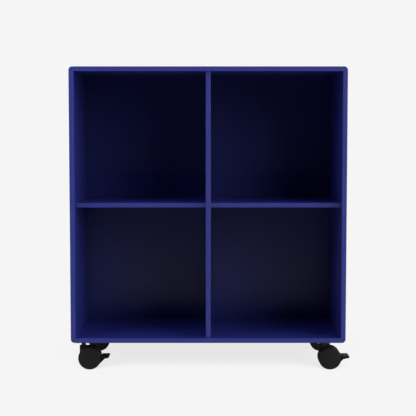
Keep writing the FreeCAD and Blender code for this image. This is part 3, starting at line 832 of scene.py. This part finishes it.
@dataclass(frozen=True)
class Softbox:
    """A round lamp with a wide soft face that looks at the module.

    Attributes:
        name: what it is.
        azimuth: where it stands, in degrees from the front towards the right.
        elevation: how high it stands, in degrees.
        distance: how far off it stands.
        strength: how much light it throws on a face turned to it.
        spread: how wide it looks from the module, in degrees.
        mirrored: whether shiny faces show it.
        spares: nodes that a flag keeps its light off.
    """

    name: str
    azimuth: float
    elevation: float
    distance: float
    strength: float
    spread: float = 36.0
    mirrored: bool = True
    spares: tuple[str, ...] = ()

    def direction(self) -> Vector:
        """The direction towards the lamp."""
        around, up = math.radians(self.azimuth), math.radians(self.elevation)
        return Vector((math.sin(around) * math.cos(up), -math.cos(around) * math.cos(up), math.sin(up)))

    def build(self, aim: Vector, nodes: dict[str, bpy.types.Object]) -> None:
        """Hang the lamp.

        Args:
            aim: the place that it looks at.
            nodes: the frame's objects by name.
        """
        lamp = bpy.data.lights.new(self.name, "AREA")
        lamp.shape = "DISK"
        lamp.size = 2.0 * self.distance * math.tan(math.radians(self.spread / 2.0))
        lamp.energy = math.pi * self.distance ** 2 * self.strength
        made = bpy.data.objects.new(self.name, lamp)
        made.location = aim + self.distance * self.direction()
        made.rotation_euler = self.direction().to_track_quat("Z", "Y").to_euler()
        made.visible_camera = False
        made.visible_glossy = self.mirrored
        bpy.context.scene.collection.objects.link(made)
        if self.spares:
            self._flag(made, nodes)
        LOG.info("lamp %s", self.name)

    def _flag(self, lamp: bpy.types.Object, nodes: dict[str, bpy.types.Object]) -> None:
        """Keep the lamp's light off the nodes that it spares.

        Args:
            lamp: the lamp's object.
            nodes: the frame's objects by name.
        """
        spared = bpy.data.collections.new(f"{self.name}_spares")
        for name in self.spares:
            spared.objects.link(nodes[name])
        lamp.light_linking.receiver_collection = spared
        for member in spared.collection_objects:
            member.light_linking.link_state = "EXCLUDE"


LAMP_FAR, LAMP_NEAR = 8.0, 1.3
LAMP_WIDE = 60.0
LAMPS = (
    Softbox("front", azimuth=0.0, elevation=5.0, distance=LAMP_FAR, strength=1.26, spread=30.0,
            mirrored=False, spares=("back_panel",)),
    Softbox("far_right", azimuth=55.0, elevation=25.0, distance=LAMP_FAR, strength=1.45, spread=LAMP_WIDE),
    Softbox("far_side", azimuth=70.0, elevation=25.0, distance=LAMP_FAR, strength=1.30, spread=LAMP_WIDE,
            mirrored=False),
    Softbox("left_high", azimuth=-70.0, elevation=45.0, distance=LAMP_NEAR, strength=1.42, mirrored=False),
    Softbox("left_low", azimuth=-70.0, elevation=-4.0, distance=LAMP_NEAR, strength=0.65),
    Softbox("right_high", azimuth=70.0, elevation=45.0, distance=LAMP_NEAR, strength=0.35),
    Softbox("right_low", azimuth=70.0, elevation=-4.0, distance=LAMP_NEAR, strength=0.60),
    Softbox("back", azimuth=180.0, elevation=14.0, distance=LAMP_FAR, strength=1.90, spread=LAMP_WIDE,
            mirrored=False),
)


@dataclass
class Studio:
    """The pale floor and backdrop, the lights and the camera.

    Attributes:
        aim: the place that the lamps look at.
        pale: grey level of the floor and the backdrop as the camera sees them, linear.
        ambient: level of the light that comes from all round.
        backdrop_rise: how far a direction leans to the back where shiny faces show the backdrop fully pale.
        floor_reach: radius of the floor.
        floor_tint: how much light the floor throws back up.
        floor_mirrored: how much of the pale floor shiny faces show.
        shadow_tint: how much of the floor's look takes the shadows of the lamps.
        shade_lean: how far the hemisphere of the ambient occlusion that paints the floor's shadow leans to
            the front, in degrees.
        shade_reach: how far that ambient occlusion looks for what stands over the floor.
        shade_range: shares of open hemisphere at which the painted shadow is darkest and at which the floor
            is fully pale.
        shade_level: how pale the floor is where the painted shadow is darkest, against the open.
        shade_samples: how many ways the ambient occlusion looks from each place.
        camera_place: where the camera stands.
        camera_dip: how far the camera looks down, in radians.
        focal_pixels: the camera's focal length, in pixels of the photograph.
        shift_pixels: how far the picture is shifted to the right, in pixels.
        sensor_width: width of the camera's sensor, in millimetres.
    """

    aim: Point = (0.0, -0.15, 0.42)
    pale: float = 0.913
    ambient: float = 0.002
    backdrop_rise: float = 0.3
    floor_reach: float = 2.2
    floor_tint: float = 0.36
    floor_mirrored: float = 0.08
    shadow_tint: float = 0.006
    shade_lean: float = 70.0
    shade_reach: float = 0.6
    shade_range: tuple[float, float] = (0.5, 0.77)
    shade_level: float = 0.862
    shade_samples: int = 16
    camera_place: Point = (0.0, -2.69884, 0.5854)
    camera_dip: float = 0.0668353
    focal_pixels: float = 1017.86
    shift_pixels: float = -0.206
    sensor_width: float = 36.0

    def build(self, nodes: dict[str, bpy.types.Object]) -> None:
        """Set up everything round the module.

        Args:
            nodes: the frame's objects by name.
        """
        self._world()
        self._floor()
        for lamp in LAMPS:
            lamp.build(Vector(self.aim), nodes)
        self._camera()

    def _world(self) -> None:
        """Light from all round, and a pale backdrop behind the module."""
        world = bpy.data.worlds.new("studio")
        world.use_nodes = True
        bpy.context.scene.world = world
        graph = Graph(world.node_tree)
        rays = graph.add("ShaderNodeLightPath").outputs
        towards = graph.add("ShaderNodeTexCoord").outputs["Generated"]
        behind = graph.add("ShaderNodeMapRange", {
            "Value": graph.add("ShaderNodeSeparateXYZ", {"Vector": towards}).outputs["Y"],
            "From Min": 0.0, "From Max": self.backdrop_rise,
        }).outputs["Result"]
        mirrored = graph.add("ShaderNodeMath", {
            0: rays["Is Glossy Ray"], 1: behind,
        }, operation="MULTIPLY")
        seen = graph.add("ShaderNodeMath", {
            0: rays["Is Camera Ray"], 1: rays["Is Transmission Ray"],
        }, operation="MAXIMUM")
        shown = graph.add("ShaderNodeMath", {
            0: seen.outputs[0], 1: mirrored.outputs[0],
        }, operation="MAXIMUM")
        dim = graph.add("ShaderNodeBackground", {"Color": grey(1.0), "Strength": self.ambient})
        pale = graph.add("ShaderNodeBackground", {"Color": grey(self.pale), "Strength": 1.0})
        mix = graph.add("ShaderNodeMixShader", {
            0: shown.outputs[0], 1: dim.outputs["Background"], 2: pale.outputs["Background"],
        })
        graph.add("ShaderNodeOutputWorld", {"Surface": mix.outputs["Shader"]})

    def _floor_light(self) -> float:
        """How bright a white floor would be in the open under the lamps and the ambient light."""
        return self.ambient + sum(lamp.strength * lamp.direction().z for lamp in LAMPS) / math.pi

    def _floor(self) -> None:
        """A round pale floor that shows the module's soft shadow: painted into its glow from ambient
        occlusion, with a faint diffuse share that takes the lamps' real shadows.
        """
        shape = Shape()
        bmesh.ops.create_circle(shape.mesh, cap_ends=True, radius=self.floor_reach,
                                segments=ROUND_FACETS)
        floor = shape.piece("floor")
        material = bpy.data.materials.new("pale_floor")
        material.use_nodes = True
        graph = Graph(material.node_tree)
        rays = graph.add("ShaderNodeLightPath").outputs
        glow_level = self.pale - self.shadow_tint * self._floor_light()
        shade = graph.add("ShaderNodeBsdfDiffuse", {"Color": grey(self.shadow_tint)})
        # The glow's strength carries the painted shadow under the module, so this shade is painted into the
        # floor, not lit.
        glow = graph.add("ShaderNodeEmission", {
            "Color": grey(glow_level), "Strength": self._shade(graph),
        })
        shown = graph.add("ShaderNodeAddShader", {0: shade.outputs["BSDF"], 1: glow.outputs["Emission"]})
        bounce = graph.add("ShaderNodeBsdfDiffuse", {"Color": grey(self.floor_tint)})
        seen = graph.add("ShaderNodeMath", {
            0: rays["Is Glossy Ray"], 1: self.floor_mirrored, 2: rays["Is Camera Ray"],
        }, operation="MULTIPLY_ADD")
        mix = graph.add("ShaderNodeMixShader", {
            0: seen.outputs[0], 1: bounce.outputs["BSDF"], 2: shown.outputs["Shader"],
        })
        graph.add("ShaderNodeOutputMaterial", {"Surface": mix.outputs["Shader"]})
        floor.data.materials.append(material)

    def _shade(self, graph: Graph) -> bpy.types.NodeSocket:
        """How pale the floor is painted where the module stands in the light from the front: a painted
        shadow from ambient occlusion, not a shadow that a lamp casts.

        Args:
            graph: the floor's nodes.

        Returns:
            The socket with the share, 1 in the open.
        """
        lean = math.radians(self.shade_lean)
        towards = graph.add("ShaderNodeCombineXYZ", {"Y": -math.sin(lean), "Z": math.cos(lean)})
        # Ambient occlusion, leaning to the front, tells how open each place is; it paints the floor's
        # shadow.
        light = graph.add("ShaderNodeAmbientOcclusion", {
            "Normal": towards.outputs["Vector"], "Distance": self.shade_reach,
        }, samples=self.shade_samples)
        low, high = self.shade_range
        return graph.add("ShaderNodeMapRange", {
            "Value": light.outputs["AO"], "From Min": low, "From Max": high,
            "To Min": self.shade_level, "To Max": 1.0,
        }, interpolation_type="SMOOTHSTEP").outputs["Result"]

    def _camera(self) -> None:
        """A camera where the photograph was taken from."""
        lens = bpy.data.cameras.new("photo_camera")
        lens.sensor_width = self.sensor_width
        lens.lens = self.focal_pixels * self.sensor_width / PHOTO_PIXELS
        lens.shift_x = self.shift_pixels / PHOTO_PIXELS
        camera = bpy.data.objects.new("photo_camera", lens)
        camera.location = self.camera_place
        camera.rotation_euler = (math.pi / 2 - self.camera_dip, 0.0, 0.0)
        bpy.context.scene.collection.objects.link(camera)
        bpy.context.scene.camera = camera


def main() -> None:
    """Load the frame, dress it and set the studio up."""
    logging.basicConfig(level=logging.INFO, format="%(name)s: %(message)s")
    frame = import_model()
    bpy.context.scene.view_settings.view_transform = "Standard"
    wardrobe = Wardrobe()
    Carcass().dress(frame["nodes"], wardrobe)
    for corner in Corner:
        castor = Castor(corner)
        castor.dress(frame["nodes"], wardrobe)
        castor.build(wardrobe)
    Studio().build(frame["nodes"])


if __name__ == "__main__":
    main()
